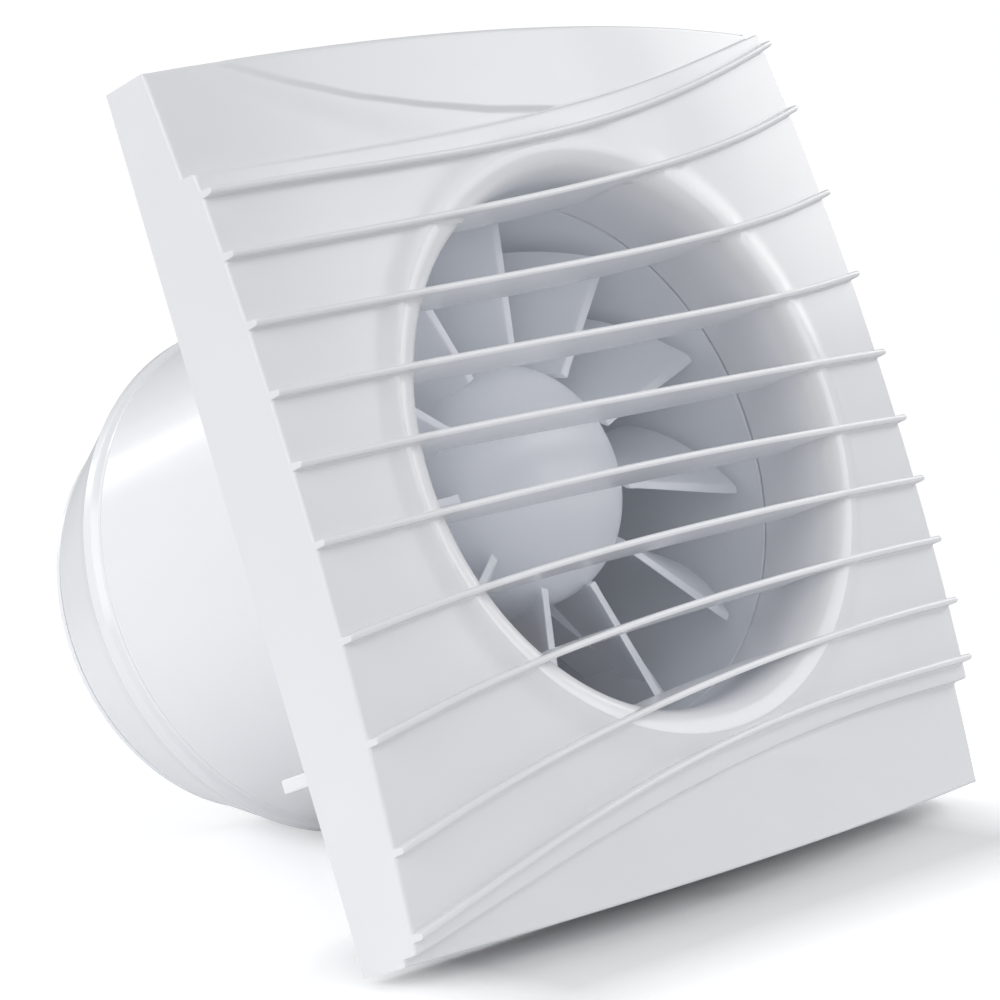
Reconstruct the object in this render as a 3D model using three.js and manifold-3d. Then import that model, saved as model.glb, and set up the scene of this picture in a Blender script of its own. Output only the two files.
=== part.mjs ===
// Axial bathroom extractor fan for a 100 mm duct.
// Frame: millimetres, origin on the fan axis in the wall plane (back of the flange),
// +Y along the duct into the wall, +Z up, +X to the right of someone facing the grille.
import * as THREE from 'three';
import { mergeVertices } from 'three/addons/utils/BufferGeometryUtils.js';
import Module from 'manifold-3d';

const wasm = await Module();
wasm.setup();

// ---------------------------------------------------------------- driving dimensions
const SEG = 48;                 // facets round the duct
const GAP = 0.3;                // working gap between separate pieces

const FACE_HALF = 75;           // half width of the square front cover
const FACE_EDGE = 18.3;         // depth of the louvred field at the middle of a side edge
const BULGE_X = 7.2;            // extra depth at the middle of the face, left to right
const BULGE_Z = 4.66;           // loss of depth from the middle to the top and bottom
const EDGE_ARCH = 1.1;          // rise of the top edge (and drop of the bottom edge) at mid width
const WALL = 2.0;               // cover wall
const RECESS_EDGE = 3.2;        // plain bands lie this far below the louvred field at the sides
const RECESS_MID = 1.5;         // and this far at mid width

const FIN_RISE = 2.4;           // louvre height above the field
const FIN_TIP = 1.15;           // louvre thickness at the tip
const FIN_ROOT = 1.7;           // and at the root
const FIN_REAR = -12;           // rear edge of the louvres inside the opening
// heights of louvres 1 to 5 at nine equal stations from the left edge to the right edge;
// louvres 6 to 10 are the same curves turned half a turn about the fan axis
const FIN_Z = [
  [52.22, 52.39, 52.61, 53.32, 54.84, 57.38, 61.01, 65.67, 71.0],
  [41.29, 41.5, 42.02, 42.92, 44.29, 46.25, 48.94, 52.57, 57.32],
  [29.44, 29.57, 29.82, 30.24, 30.93, 32.03, 33.72, 36.21, 39.78],
  [17.59, 17.7, 17.83, 18.01, 18.3, 18.79, 19.64, 21.01, 23.13],
  [5.66, 5.86, 5.92, 5.94, 6.0, 6.18, 6.48, 6.89, 7.38],
];
const STEP_Z = [55.94, 55.98, 56.39, 57.46, 59.22, 61.75, 65.14, 69.3, 73.8]; // upper border of the field

const CREST_R = 53.2;           // crest radius of the raised opening rim
const CREST_UP = 0.55;          // height of the crest above the bowed field, all the way round
const CREST_LOW = -22.45;       // crest at the left and right, where it is lowest
const THROAT_R = 47.6;          // smallest radius of the inlet
const SEAM_Y = -5.6;            // rear end of the inlet collar

const FLANGE_HALF = 72.6;
const FLANGE_T = 2.4;
const DUCT_R = 49.6;            // outside of the duct spigot
const DUCT_RI = 48.1;           // inside
const DUCT_FRONT = -5.2;
const DUCT_REAR = 67.9;
const END_BEAD_R = 50.4;        // bead of the end ring
const END_RIM_R = 41.8;         // outer radius of its rear rim
const END_REAR = 93.4;

const HUB_R = 22.4;
const HUB_NOSE = -4.2;
const BLADES = 11;
const BLADE_TIP_R = 46.2;
const BLADE_T = 1.3;
const BLADE_REAR = 24;
const BLADE_SWEEP = 24;         // degrees from leading edge to trailing edge
const BLADE_START = 19.8;       // degrees, leading edge of the first blade

const SHAFT_R = 1.6;
const ROTOR_R = 9.0;
const STATOR_BORE = 9.6;
const STATOR_Y = [40, 54];
const MOTOR_PLATE_Y = [31, 33.4];
const MOTOR_SCREW_X = 15;

const FLAP_R = 41.3;
const FLAP_T = 1.0;
const PIN_Y = 94.3;
const PIN_R = 1.0;

const WALL_HOLE = [62, 56];     // wall screw holes
const WALL_HOLE_R = 2.2;
const TONGUES = [[62, 26], [-62, 26], [-62, -26], [62, -26]];

// ---------------------------------------------------------------- helpers
function solid(geometry) {
  let g = geometry.clone();
  g.deleteAttribute('normal');
  g.deleteAttribute('uv');
  g = mergeVertices(g, 1e-4);
  const p = g.attributes.position.array;
  const src = g.index.array;
  const tri = [];
  let vol = 0;
  for (let i = 0; i < src.length; i += 3) {
    const [a, b, c] = [src[i], src[i + 1], src[i + 2]];
    if (a === b || b === c || c === a) continue;
    tri.push(a, b, c);
    const [ax, ay, az, bx, by, bz, cx, cy, cz] = [a, b, c].flatMap((k) => [p[3 * k], p[3 * k + 1], p[3 * k + 2]]);
    vol += ax * (by * cz - bz * cy) - ay * (bx * cz - bz * cx) + az * (bx * cy - by * cx);
  }
  if (vol < 0) for (let i = 0; i < tri.length; i += 3) [tri[i + 1], tri[i + 2]] = [tri[i + 2], tri[i + 1]];
  return new wasm.Manifold(new wasm.Mesh({ numProp: 3, vertProperties: Float32Array.from(p), triVerts: Uint32Array.from(tri) }));
}
const join = (...parts) => parts.reduce((a, b) => a.add(b));

function mesh(name, body, material) {
  const m = body.getMesh();
  const g = new THREE.BufferGeometry();
  const n = m.numProp;
  const pos = new Float32Array((m.vertProperties.length / n) * 3);
  for (let i = 0; i < pos.length / 3; i++) for (let k = 0; k < 3; k++) pos[3 * i + k] = m.vertProperties[n * i + k];
  g.setAttribute('position', new THREE.BufferAttribute(pos, 3));
  g.setIndex(new THREE.BufferAttribute(Uint32Array.from(m.triVerts), 1));
  g.computeVertexNormals();
  const out = new THREE.Mesh(g, material);
  out.name = name;
  return out;
}

// a box whose three parameters, each -1 to 1, are mapped to a point
function mapped(nu, nv, nw, fn) {
  const g = new THREE.BoxGeometry(2, 2, 2, nu, nv, nw);
  const p = g.attributes.position;
  for (let i = 0; i < p.count; i++) {
    const [x, y, z] = fn(p.getX(i), p.getY(i), p.getZ(i));
    p.setXYZ(i, x, y, z);
  }
  return solid(g);
}
const lerp = (a, b, t) => a + (b - a) * t;
const half = (v) => (v + 1) / 2;
const block = (x0, x1, y0, y1, z0, z1) => {
  const g = new THREE.BoxGeometry(x1 - x0, y1 - y0, z1 - z0);
  g.translate((x0 + x1) / 2, (y0 + y1) / 2, (z0 + z1) / 2);
  return solid(g);
};
const rodY = (r, y0, y1, x = 0, z = 0, seg = 20) => {
  const g = new THREE.CylinderGeometry(r, r, y1 - y0, seg);
  g.translate(x, (y0 + y1) / 2, z);
  return solid(g);
};
const rodZ = (r, z0, z1, x = 0, y = 0, seg = 20) => {
  const g = new THREE.CylinderGeometry(r, r, z1 - z0, seg);
  g.rotateX(Math.PI / 2);
  g.translate(x, y, (z0 + z1) / 2);
  return solid(g);
};
// solid of revolution about the Y axis from [radius, y] pairs
const turn = (pts, seg = SEG, x = 0, z = 0) => {
  const g = new THREE.LatheGeometry(pts.map(([r, y]) => new THREE.Vector2(r, y)), seg);
  g.translate(x, 0, z);
  return solid(g);
};
const ring = (pts, seg = SEG, x = 0, z = 0) => turn([...pts, pts[0]], seg, x, z);
// a flat outline in X and Z, with holes, given thickness along Y
function plateXZ(shape, y0, y1, curveSegments = 12) {
  const g = new THREE.ExtrudeGeometry(shape, { depth: y1 - y0, bevelEnabled: false, curveSegments });
  const p = g.attributes.position;
  for (let i = 0; i < p.count; i++) p.setXYZ(i, p.getX(i), y0 + p.getZ(i), p.getY(i));
  return solid(g);
}
function rectShape(x0, x1, z0, z1) {
  const s = new THREE.Shape();
  s.moveTo(x0, z0); s.lineTo(x1, z0); s.lineTo(x1, z1); s.lineTo(x0, z1); s.closePath();
  return s;
}

// smooth interpolation through nine equal stations
function along(table, x) {
  const t = ((x / FACE_HALF + 1) / 2) * (table.length - 1);
  const i = Math.min(Math.max(Math.floor(t), 0), table.length - 2);
  const f = t - i;
  const at = (k) => (k < 0 ? 2 * table[0] - table[1] : k > table.length - 1 ? 2 * table[table.length - 1] - table[table.length - 2] : table[k]);
  const [a, b, c, d] = [at(i - 1), at(i), at(i + 1), at(i + 2)];
  return b + 0.5 * f * (c - a + f * (2 * a - 5 * b + 4 * c - d + f * (3 * (b - c) + d - a)));
}
const finZ = (k, x) => (k < 5 ? along(FIN_Z[k], x) : -along(FIN_Z[9 - k], -x));
const stepTop = (x) => along(STEP_Z, x);
const stepBottom = (x) => -along(STEP_Z, -x);
const edgeTop = (x) => FACE_HALF + EDGE_ARCH * (1 - (x / FACE_HALF) ** 2);
const field = (x, z) => -(FACE_EDGE + BULGE_X * (1 - (x / FACE_HALF) ** 2) - BULGE_Z * (z / FACE_HALF) ** 2);
const recess = (x) => lerp(RECESS_MID, RECESS_EDGE, (x / FACE_HALF) ** 2);
const band = (x, z) => field(x, z) + recess(x);

// ---------------------------------------------------------------- materials
const mat = (color, roughness, metalness = 0) => new THREE.MeshStandardMaterial({ color, roughness, metalness });
const glossWhite = mat(0xe9eaee, 0.22);
const white = mat(0xe4e5ea, 0.35);
const fanGrey = mat(0xc9cad1, 0.42);
const steel = mat(0xb9bcc0, 0.35, 1);
const lamination = mat(0x6d7074, 0.5, 0.9);
const alu = mat(0xc3c5c8, 0.45, 1);
const copper = mat(0x9a5a34, 0.4, 0.8);
const bronze = mat(0xa98650, 0.45, 1);
const black = mat(0x25262a, 0.6);
const rubber = mat(0x2b2c2f, 0.85);

const fan = new THREE.Group();
fan.name = 'extractor_fan';

// ---------------------------------------------------------------- front grille
{
  const NX = 12;
  const plate = (zLow, zHigh, front, thick, nw) => mapped(NX, 1, nw, (u, v, w) => {
    const x = FACE_HALF * u;
    const z = lerp(zLow(x), zHigh(x), half(w));
    return [x, front(x, z) + (v > 0 ? thick(x) : 0), z];
  });
  const wall = () => WALL;
  let shell = join(
    plate(stepBottom, stepTop, field, wall, 6),
    plate((x) => stepTop(x) - 1.6, stepTop, field, (x) => recess(x) + WALL, 1),
    plate(stepBottom, (x) => stepBottom(x) + 1.6, field, (x) => recess(x) + WALL, 1),
    plate((x) => stepTop(x) - 0.8, edgeTop, band, wall, 2),
    plate((x) => -edgeTop(x), (x) => stepBottom(x) + 0.8, band, wall, 2),
  );
  // top and bottom walls
  const skirtZ = (s) => mapped(NX, 1, 1, (u, v, w) => {
    const x = FACE_HALF * u;
    const z = s * (edgeTop(x) - (s * w > 0 ? 0 : WALL));
    return [x, v > 0 ? 0 : band(x, z), z];
  });
  // side walls, in three runs: lower band, field, upper band
  const side = (s, z0, z1, front, nw) => mapped(1, 1, nw, (u, v, w) => {
    const x = s * (FACE_HALF - (s * u > 0 ? 0 : WALL));
    const z = lerp(z0, z1, half(w));
    return [x, v > 0 ? 0 : front(s * FACE_HALF, z), z];
  });
  shell = join(shell, skirtZ(1), skirtZ(-1));
  for (const s of [-1, 1]) {
    const x = s * FACE_HALF;
    shell = join(shell,
      side(s, stepBottom(x), stepTop(x), field, 6),
      side(s, stepTop(x) - 0.5, FACE_HALF, band, 1),
      side(s, -FACE_HALF, stepBottom(x) + 0.5, band, 1));
  }
  // opening
  shell = shell.subtract(rodY(52.6, -40, -0.5, 0, 0, SEG));
  // raised rim, flared inlet and collar in one ring; its front part follows the bow of the face
  {
    const profile = [
      [CREST_R, CREST_LOW], [51.5, -22.2], [50.3, -21.75], [49.25, -21.0], [48.45, -19.85], [47.85, -18.3], [THROAT_R, -16.3],
      [THROAT_R + 0.4, SEAM_Y], [THROAT_R + 2.2, SEAM_Y], [THROAT_R + 2.4, -15.4], [51.6, -18.2], [55.3, -19.9], [55.3, -21.2], [54.2, -22.0],
    ];
    const g = new THREE.LatheGeometry([...profile, profile[0]].map(([r, y]) => new THREE.Vector2(r, y)), SEG);
    const p = g.attributes.position;
    for (let i = 0; i < p.count; i++) {
      const [x, y, z] = [p.getX(i), p.getY(i), p.getZ(i)];
      const r = Math.hypot(x, z);
      const crest = field((x / r) * CREST_R, (z / r) * CREST_R) - CREST_UP;
      const t = Math.min(Math.max((-16.6 - y) / 5.4, 0), 1);
      p.setY(i, y + (crest - CREST_LOW) * t * t * (3 - 2 * t));
    }
    shell = join(shell, solid(g));
  }
  // louvres: shallow ribs on the plate that run on as deeper blades across the opening
  for (let k = 0; k < 10; k++) {
    const inside = [];
    for (let x = -50; x <= 50; x += 0.1) if (Math.hypot(x, finZ(k, x)) < THROAT_R + 1.9) inside.push(x);
    const deep = inside.length > 20;
    const x0 = deep ? inside[0] : 0, x1 = deep ? inside[inside.length - 1] : 0;
    const stations = [];
    for (let i = 0; i <= NX; i++) stations.push(-FACE_HALF + (2 * FACE_HALF * i) / NX);
    if (deep) {
      for (const e of [x0, x1]) {
        for (let i = stations.length - 1; i >= 0; i--) if (Math.abs(stations[i] - e) < 3) stations.splice(i, 1);
      }
      stations.push(x0 - 0.05, x0 + 0.05, x1 - 0.05, x1 + 0.05);
      stations.sort((a, b) => a - b);
    }
    const n = stations.length - 1;
    shell = join(shell, mapped(n, 1, 1, (u, v, w) => {
      const x = stations[Math.round(half(u) * n)];
      const zc = finZ(k, x);
      const isDeep = deep && x > x0 && x < x1;
      const t = v > 0 ? FIN_ROOT : FIN_TIP;
      return [x, v > 0 ? (isDeep ? FIN_REAR : field(x, zc) + 1.2) : field(x, zc) - FIN_RISE, zc + (w * t) / 2];
    }));
  }
  // fixing tongues behind the plate
  for (const [x, z] of TONGUES) shell = join(shell, block(x - 0.9, x + 0.9, field(x, z) + 1, -2.8, z - 4, z + 4));
  // release slot in the bottom wall
  shell = shell.subtract(block(-3, 3, -11.2, -9.2, -80, -72));
  fan.add(mesh('front_grille', shell, glossWhite));
}

// ---------------------------------------------------------------- housing: flange, duct spigot, motor carrier
{
  const outline = rectShape(-FLANGE_HALF, FLANGE_HALF, -FLANGE_HALF, FLANGE_HALF);
  let body = plateXZ(outline, -FLANGE_T, 0);
  body = body.subtract(rodY(49, -5, 5, 0, 0, SEG));
  body = join(body, ring([[DUCT_RI, DUCT_FRONT], [DUCT_R + 0.2, DUCT_FRONT], [DUCT_R + 0.2, 0], [DUCT_R, 1.5], [DUCT_R, DUCT_REAR], [DUCT_RI, DUCT_REAR]]));
  // sockets for the grille tongues
  for (const [x, z] of TONGUES) {
    body = join(body, block(x - 2.8, x + 2.8, -8, -FLANGE_T + 0.4, z - 5.9, z + 5.9));
    body = body.subtract(block(x - 1.25, x + 1.25, -9, -FLANGE_T, z - 4.35, z + 4.35));
  }
  // motor plate on four arms
  body = join(body, ring([[7.6, MOTOR_PLATE_Y[0]], [21, MOTOR_PLATE_Y[0]], [21, MOTOR_PLATE_Y[1]], [7.6, MOTOR_PLATE_Y[1]]], 32));
  for (let k = 0; k < 4; k++) {
    const g = new THREE.BoxGeometry(29.4, 9, 2.6);
    g.translate(19.4 + 14.7, MOTOR_PLATE_Y[0] + 4.5, 0);
    g.rotateY(Math.PI / 4 + (k * Math.PI) / 2);
    body = join(body, solid(g));
  }
  for (const s of [-1, 1]) body = body.subtract(rodY(1.9, 28, 36, s * MOTOR_SCREW_X, 0, 16));
  // two rearward pegs, diagonally opposite
  for (const s of [-1, 1]) body = join(body, block(s * 68.4 - 1.2, s * 68.4 + 1.2, -1, 12.6, s * 41.6 - 1.25, s * 41.6 + 1.25));
  // wall screw holes and cable inlet
  for (const sx of [-1, 1]) for (const sz of [-1, 1]) body = body.subtract(rodY(WALL_HOLE_R, -5, 5, sx * WALL_HOLE[0], sz * WALL_HOLE[1], 16));
  body = body.subtract(rodY(4.6, -5, 5, 10, -64, 20));
  fan.add(mesh('housing', body, white));
}

// ---------------------------------------------------------------- end ring with the shutter
{
  let body = ring([
    [46.2, 60.5], [47.7, 60.5], [47.7, DUCT_REAR + GAP], [DUCT_R + 0.2, DUCT_REAR + GAP], [END_BEAD_R, DUCT_REAR + 1.2], [END_BEAD_R, 72.6], [50.0, 73.2],
    [END_RIM_R, END_REAR - 0.5], [END_RIM_R - 0.5, END_REAR], [END_RIM_R - 1.7, END_REAR], [END_RIM_R - 1.9, END_REAR - 1.2], [47.4, 74.4], [46.2, 72.4],
  ]);
  // upright bar across the rear and its hinge lugs
  body = join(body, block(-2.2, 2.2, 85, 91.4, -42.2, 42.2));
  for (const [z0, z1] of [[-3, 3], [34.4, 38.4], [-38.4, -34.4]]) {
    body = join(body, block(-1.9, 1.9, 90.5, PIN_Y, z0, z1), rodZ(1.95, z0, z1, 0, PIN_Y, 14));
  }
  body = body.subtract(rodZ(PIN_R + 0.1, -60, 60, 0, PIN_Y, 16));
  fan.add(mesh('end_ring', body, white));

  const flap = (name, s, runs) => {
    const shape = new THREE.Shape();
    shape.moveTo(s * 2.7, -Math.sqrt(FLAP_R ** 2 - 2.7 ** 2));
    const a0 = Math.acos(2.7 / FLAP_R);
    const n = 20;
    for (let i = 1; i <= n; i++) {
      const a = -a0 + (2 * a0 * i) / n;
      shape.lineTo(s * FLAP_R * Math.cos(a), FLAP_R * Math.sin(a));
    }
    shape.closePath();
    let b = plateXZ(shape, PIN_Y - FLAP_T / 2, PIN_Y + FLAP_T / 2);
    for (const [z0, z1] of runs) {
      b = join(b, block(Math.min(s * 0.9, s * 3.2), Math.max(s * 0.9, s * 3.2), PIN_Y - FLAP_T / 2, PIN_Y + FLAP_T / 2, z0, z1), rodZ(1.9, z0, z1, 0, PIN_Y, 14));
    }
    b = b.subtract(rodZ(PIN_R + 0.1, -60, 60, 0, PIN_Y, 16));
    fan.add(mesh(name, b, white));
  };
  flap('flap_left', -1, [[5, 15], [-30, -20]]);
  flap('flap_right', 1, [[20, 30], [-15, -5]]);
  fan.add(mesh('flap_pin', rodZ(PIN_R, -38.2, 38.2, 0, PIN_Y, 16), steel));
}

// ---------------------------------------------------------------- impeller
{
  let body = turn([
    [0, HUB_NOSE + 0.35], [1.3, HUB_NOSE + 0.3], [1.9, HUB_NOSE], [7, HUB_NOSE + 0.45], [12.5, HUB_NOSE + 1.9], [17, HUB_NOSE + 4.4], [20.2, HUB_NOSE + 7.6], [21.9, HUB_NOSE + 11.2], [HUB_R, HUB_NOSE + 15],
    [HUB_R, 26], [HUB_R - 1.8, 26], [HUB_R - 1.8, 12], [19, 5.5], [14, 1], [5.2, -1.6], [4.6, 1.5], [4.4, 19], [0, 19],
  ], 30);
  body = body.subtract(rodY(SHAFT_R + 0.06, 2.5, 30, 0, 0, 24));
  const nr = 3, nc = 5;
  for (let k = 0; k < BLADES; k++) {
    body = join(body, mapped(nr, 1, nc, (u, v, w) => {
      const f = half(u);
      const r = lerp(HUB_R - 1.0, BLADE_TIP_R, f);
      const s = half(w);
      const lead = lerp(2.5, -0.8, f);
      const y = lerp(lead, BLADE_REAR, s);
      const at = (q) => (BLADE_SWEEP * (1 - (1 - q) ** 1.6) * Math.PI) / 180;
      const a = ((BLADE_START + (360 / BLADES) * k) * Math.PI) / 180 + at(s);
      // offset half the thickness square to the chord line
      const ds = 0.02;
      const q0 = Math.max(0, s - ds), q1 = Math.min(1, s + ds);
      const dy = (q1 - q0) * (BLADE_REAR - lead), dt = (at(q1) - at(q0)) * r;
      const L = Math.hypot(dy, dt);
      const h = (v * BLADE_T * (s < 0.01 || s > 0.99 ? 0.55 : 1)) / 2;
      const aa = a + (-dy / L) * h / r;
      return [r * Math.cos(aa), y + (dt / L) * h, r * Math.sin(aa)];
    }));
  }
  fan.add(mesh('impeller', body, fanGrey));
}

// ---------------------------------------------------------------- motor
{
  fan.add(mesh('motor_shaft', rodY(SHAFT_R, 3, 62.5, 0, 0, 24), steel));
  fan.add(mesh('rotor', ring([[SHAFT_R + 0.06, 39.5], [ROTOR_R - 0.8, 39.5], [ROTOR_R, 40.2], [ROTOR_R, 53.8], [ROTOR_R - 0.8, 54.5], [SHAFT_R + 0.06, 54.5]], 24), alu));

  const frame = rectShape(-20, 20, -29, 17);
  const bore = new THREE.Path(); bore.absarc(0, 0, STATOR_BORE, 0, Math.PI * 2, true);
  const win = new THREE.Path(); win.moveTo(-13, -21); win.lineTo(-13, -12.5); win.lineTo(13, -12.5); win.lineTo(13, -21); win.closePath();
  frame.holes.push(bore, win);
  for (const s of [-1, 1]) { const h = new THREE.Path(); h.absarc(s * MOTOR_SCREW_X, 0, 1.9, 0, Math.PI * 2, true); frame.holes.push(h); }
  fan.add(mesh('stator', plateXZ(frame, STATOR_Y[0], STATOR_Y[1], 9), lamination));

  let bobbin = block(-12, 12, 38.5, 55.5, -30.5, -19.5);
  for (const s of [-1, 1]) bobbin = join(bobbin, block(Math.min(s * 10.4, s * 12), Math.max(s * 10.4, s * 12), 34.2, 59.8, -36.6, -13.1));
  bobbin = bobbin.subtract(block(-20, 20, 39.7, 54.3, -29.3, -20.7));
  fan.add(mesh('coil_bobbin', bobbin, black));
  fan.add(mesh('coil_winding', block(-10.1, 10.1, 34.6, 59.4, -36.2, -13.5).subtract(block(-15, 15, 38.2, 55.8, -30.8, -19.2)), copper));

  const bracket = (name, plate0, plate1, foot0, foot1, bush0, bush1) => {
    let b = plateXZ((() => {
      const s = new THREE.Shape();
      s.moveTo(-19, -4); s.lineTo(-7, -6.4); s.lineTo(7, -6.4); s.lineTo(19, -4); s.lineTo(19, 4); s.lineTo(7, 6.4); s.lineTo(-7, 6.4); s.lineTo(-19, 4); s.closePath();
      return s;
    })(), plate0, plate1);
    for (const s of [-1, 1]) b = join(b, rodY(3.9, foot0, foot1, s * MOTOR_SCREW_X, 0, 14));
    b = join(b, rodY(6.4, bush0, bush1, 0, 0, 18));
    for (const s of [-1, 1]) b = b.subtract(rodY(1.95, 20, 70, s * MOTOR_SCREW_X, 0, 12));
    b = b.subtract(rodY(4.1, 20, 70, 0, 0, 18));
    fan.add(mesh(name, b, alu));
  };
  bracket('bearing_bracket_front', 33.8, 36, 35, 39.7, 32.4, 36.6);
  bracket('bearing_bracket_rear', 58, 60.2, 54.3, 59, 57.6, 61.4);
  const bush = (name, y0, y1) => fan.add(mesh(name, ring([[SHAFT_R + 0.08, y0], [3.9, y0], [3.9, y1], [SHAFT_R + 0.08, y1]], 18), bronze));
  bush('bush_front', 31.8, 37.2);
  bush('bush_rear', 57, 61.8);
  for (const [i, s] of [[1, -1], [2, 1]]) {
    const x = s * MOTOR_SCREW_X;
    let sc = join(rodY(1.5, 30, 61, x, 0, 12), rodY(2.9, 60.5, 62.7, x, 0, 14));
    sc = sc.subtract(block(x - 3.2, x + 3.2, 61.8, 64, -0.4, 0.4));
    fan.add(mesh(`motor_screw_${i}`, sc, steel));
  }
}

// ---------------------------------------------------------------- mains connection in the lower right corner of the flange
{
  let tb = block(34, 55, -11.6, -2.7, -69.5, -58.5);
  for (let k = 0; k < 3; k++) {
    const x = 38 + 6.5 * k;
    tb = tb.subtract(rodY(2.15, -12, -5.2, x, -64, 14));
    tb = tb.subtract(block(x - 1.4, x + 1.4, -7.8, -5.2, -71, -57));
    let s = rodY(1.8, -11.2, -7.0, x, -64, 16);
    s = join(s, rodY(1.2, -7.5, -5.6, x, -64, 16));
    s = s.subtract(block(x - 3, x + 3, -12, -10.5, -64.3, -63.7));
    fan.add(mesh(`terminal_screw_${k + 1}`, s, bronze));
  }
  fan.add(mesh('terminal_block', tb, white));

  fan.add(mesh('inlet_grommet', ring([[3.1, -4.3], [6.4, -4.3], [6.6, -3.6], [6.4, -2.7], [4.3, -2.7], [4.3, -0.2], [3.1, -0.2]], 16, 10, -64), rubber));
}

export default fan;
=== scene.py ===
import math

import bmesh
import bpy
import numpy as np
from mathutils import Matrix, Vector


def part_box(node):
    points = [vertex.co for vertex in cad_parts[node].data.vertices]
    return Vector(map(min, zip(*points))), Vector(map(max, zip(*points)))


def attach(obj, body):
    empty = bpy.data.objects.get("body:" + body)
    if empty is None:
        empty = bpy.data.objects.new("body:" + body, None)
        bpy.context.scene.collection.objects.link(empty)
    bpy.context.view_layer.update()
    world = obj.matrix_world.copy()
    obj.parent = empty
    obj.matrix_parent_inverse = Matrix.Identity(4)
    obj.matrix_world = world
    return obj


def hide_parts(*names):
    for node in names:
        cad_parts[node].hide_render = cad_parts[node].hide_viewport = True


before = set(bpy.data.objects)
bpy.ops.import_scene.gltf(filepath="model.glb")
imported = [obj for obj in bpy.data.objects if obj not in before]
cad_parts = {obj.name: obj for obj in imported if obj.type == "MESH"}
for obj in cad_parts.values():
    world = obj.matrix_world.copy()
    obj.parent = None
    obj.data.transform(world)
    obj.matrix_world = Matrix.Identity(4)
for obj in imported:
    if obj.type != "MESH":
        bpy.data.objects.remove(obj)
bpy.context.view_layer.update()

scene = bpy.context.scene
MM = 0.001

# ------------------------------------------------------------------ camera
cam_data = bpy.data.cameras.new("camera")
cam_data.lens = 122.28
cam_data.sensor_width = 36.0
cam_data.clip_start, cam_data.clip_end = 0.01, 20.0
cam = bpy.data.objects.new("camera", cam_data)
scene.collection.objects.link(cam)
right, up, back = (0.6995117, -0.65459309, -0.2866902), (0.13841225, -0.26947601, 0.95300825), (-0.70108875, -0.70632186, -0.09789792)
spot = (-0.42998, -0.41864, -0.06141)
cam.matrix_world = Matrix([[right[i], up[i], back[i], spot[i]] for i in range(3)] + [[0, 0, 0, 1]])
scene.camera = cam

# ------------------------------------------------------------------ driving dimensions, the same as the CAD part's (mm)
FACE_HALF = 75.0
FACE_EDGE, BULGE_X, BULGE_Z = 18.3, 7.2, 4.66
EDGE_ARCH, WALL = 1.1, 2.0
RECESS_EDGE, RECESS_MID = 3.2, 1.5
FIN_RISE, FIN_TIP, FIN_ROOT, FIN_REAR = 2.4, 1.15, 1.7, -12.0
FIN_Z = [
    [52.22, 52.39, 52.61, 53.32, 54.84, 57.38, 61.01, 65.67, 71.0],
    [41.29, 41.5, 42.02, 42.92, 44.29, 46.25, 48.94, 52.57, 57.32],
    [29.44, 29.57, 29.82, 30.24, 30.93, 32.03, 33.72, 36.21, 39.78],
    [17.59, 17.7, 17.83, 18.01, 18.3, 18.79, 19.64, 21.01, 23.13],
    [5.66, 5.86, 5.92, 5.94, 6.0, 6.18, 6.48, 6.89, 7.38],
]
STEP_Z = [55.94, 55.98, 56.39, 57.46, 59.22, 61.75, 65.14, 69.3, 73.8]
THROAT_R, SEAM_Y = 47.6, -5.6
FLANGE_HALF, FLANGE_T = 72.6, 2.4
DUCT_R, DUCT_RI, DUCT_FRONT, DUCT_REAR = 49.6, 48.1, -5.2, 67.9
END_BEAD_R, END_RIM_R, END_REAR = 50.4, 41.8, 93.4
HUB_R, HUB_NOSE = 22.4, -4.2
BLADES, BLADE_TIP_R, BLADE_T, BLADE_REAR, BLADE_SWEEP, BLADE_START = 11, 46.2, 1.3, 24.0, 24.0, 19.8
PIN_Y, FLAP_R, FLAP_T = 94.3, 41.3, 1.0
TONGUES = [(62, 26), (-62, 26), (-62, -26), (62, -26)]
WALL_HOLE, WALL_HOLE_R = (62, 56), 2.2


def lerp(a, b, t):
    return a + (b - a) * t


def smooth(t):
    t = np.clip(t, 0, 1)
    return t * t * (3 - 2 * t)


def along(table, x):
    x = np.asarray(x, float)
    tab = np.asarray(table, float)
    pad = np.concatenate([[2 * tab[0] - tab[1]], tab, [2 * tab[-1] - tab[-2]]])
    t = (x / FACE_HALF + 1) / 2 * (len(tab) - 1)
    i = np.clip(np.floor(t).astype(int), 0, len(tab) - 2)
    f = t - i
    a, b, c, d = pad[i], pad[i + 1], pad[i + 2], pad[np.minimum(i + 3, len(pad) - 1)]
    return b + 0.5 * f * (c - a + f * (2 * a - 5 * b + 4 * c - d + f * (3 * (b - c) + d - a)))


def fin_z(k, x):
    return along(FIN_Z[k], x) if k < 5 else -along(FIN_Z[9 - k], -np.asarray(x, float))


def step_top(x):
    return along(STEP_Z, x)


def step_bottom(x):
    return -along(STEP_Z, -np.asarray(x, float))


def edge_top(x):
    return FACE_HALF + EDGE_ARCH * (1 - (x / FACE_HALF) ** 2)


def field(x, z):
    return -(FACE_EDGE + BULGE_X * (1 - (x / FACE_HALF) ** 2) - BULGE_Z * (z / FACE_HALF) ** 2)


def recess(x):
    return lerp(RECESS_MID, RECESS_EDGE, (x / FACE_HALF) ** 2)


# ------------------------------------------------------------------ mesh helpers (coordinates in mm, objects in metres)
def link(name, me):
    ob = bpy.data.objects.new(name, me)
    scene.collection.objects.link(ob)
    return ob


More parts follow.
